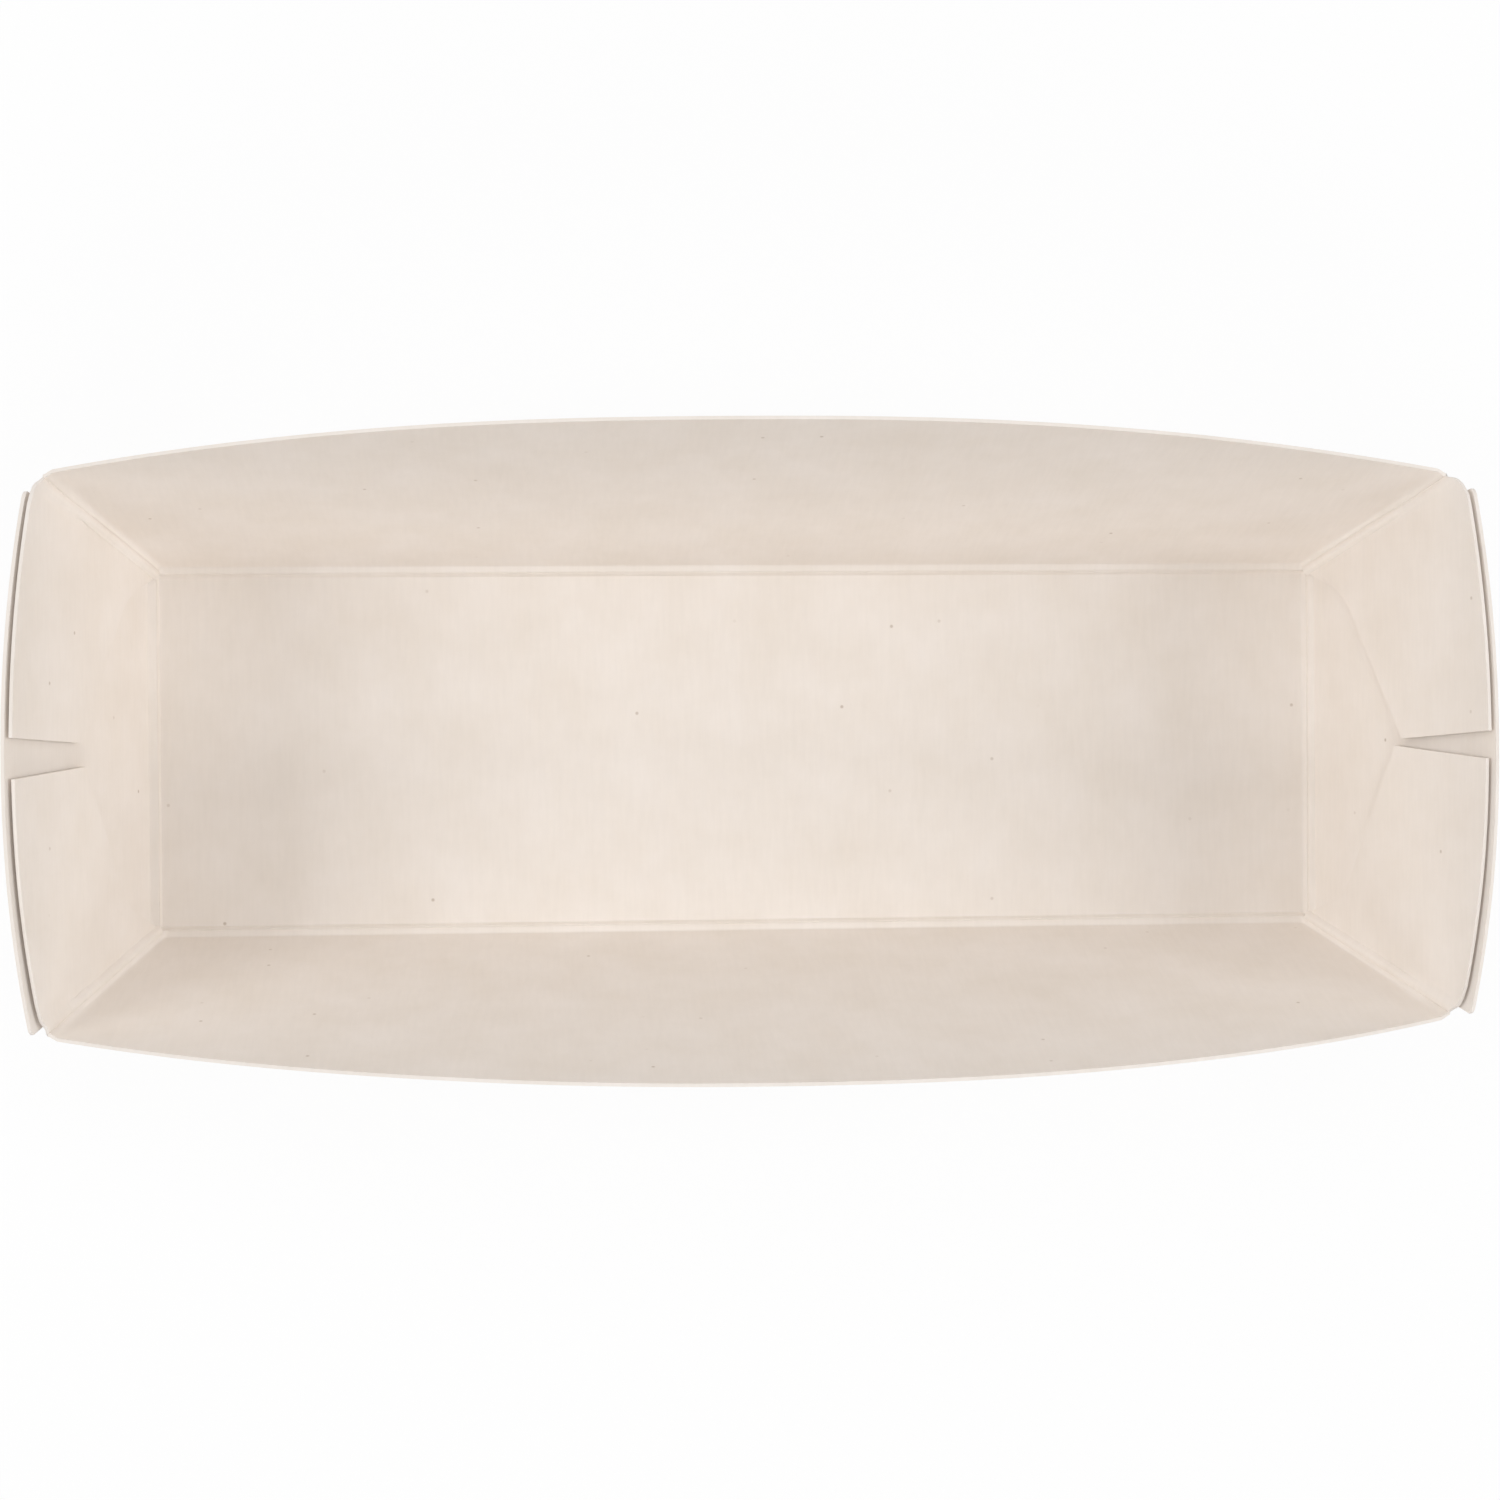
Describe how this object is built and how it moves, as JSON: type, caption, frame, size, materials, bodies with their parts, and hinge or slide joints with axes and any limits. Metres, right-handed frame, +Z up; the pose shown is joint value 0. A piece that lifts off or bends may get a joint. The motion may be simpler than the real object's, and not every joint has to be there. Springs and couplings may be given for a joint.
{
  "type": "paper food tray",
  "caption": "Long, narrow open tray folded from one board, with flared walls, arched rims and slit, glued end walls.",
  "frame": {"origin": "middle of the underside of the base, where the tray rests", "axes": "+X along the long side, +Y across the tray, +Z up out of the open top"},
  "size_m": [0.1582, 0.0688, 0.043],
  "materials": {
    "board": "uncoated off-white food board, matt, with faint fibres"
  },
  "bodies": {
    "root": {"tray": "board"}
  },
  "joints": []
}
